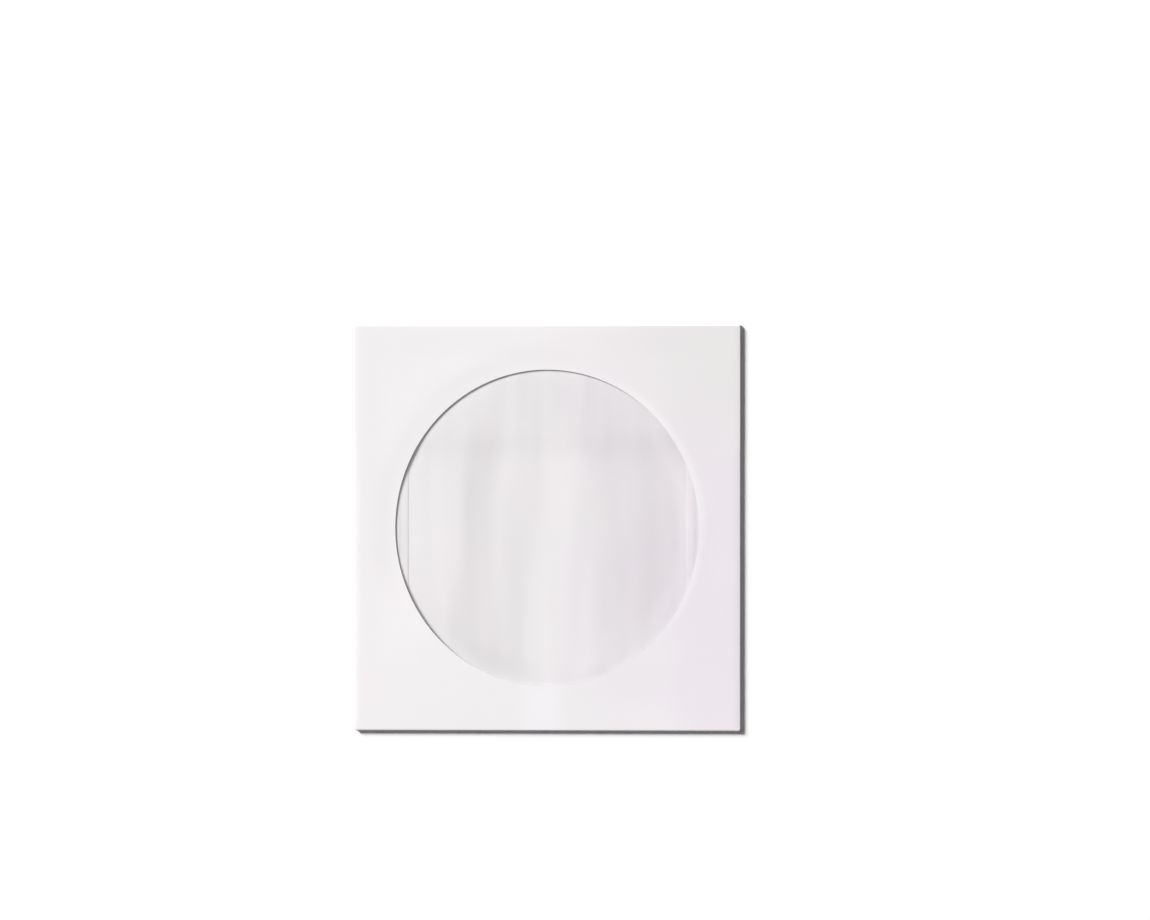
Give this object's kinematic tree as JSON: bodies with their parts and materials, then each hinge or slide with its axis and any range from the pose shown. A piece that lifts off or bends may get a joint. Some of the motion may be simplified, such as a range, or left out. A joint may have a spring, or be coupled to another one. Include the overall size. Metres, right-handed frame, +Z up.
{
  "type": "compact disc sleeve",
  "caption": "Square folded paper sleeve for a compact disc, with a round clear window in its front and a closing flap tucked under its back.",
  "frame": {"origin": "under the middle of the sleeve, on the surface it lies on", "axes": "+Z up out of the front panel with the window, +Y towards the top fold that carries the closing flap, +X to the right seen from above"},
  "size_m": [0.125, 0.126, 0.001],
  "materials": {
    "white_paper": "smooth uncoated white paper, matte",
    "clear_film": "thin clear glossy film, slightly wavy"
  },
  "bodies": {
    "root": {"folded_paper": "white_paper", "window_film": "clear_film"}
  },
  "joints": []
}
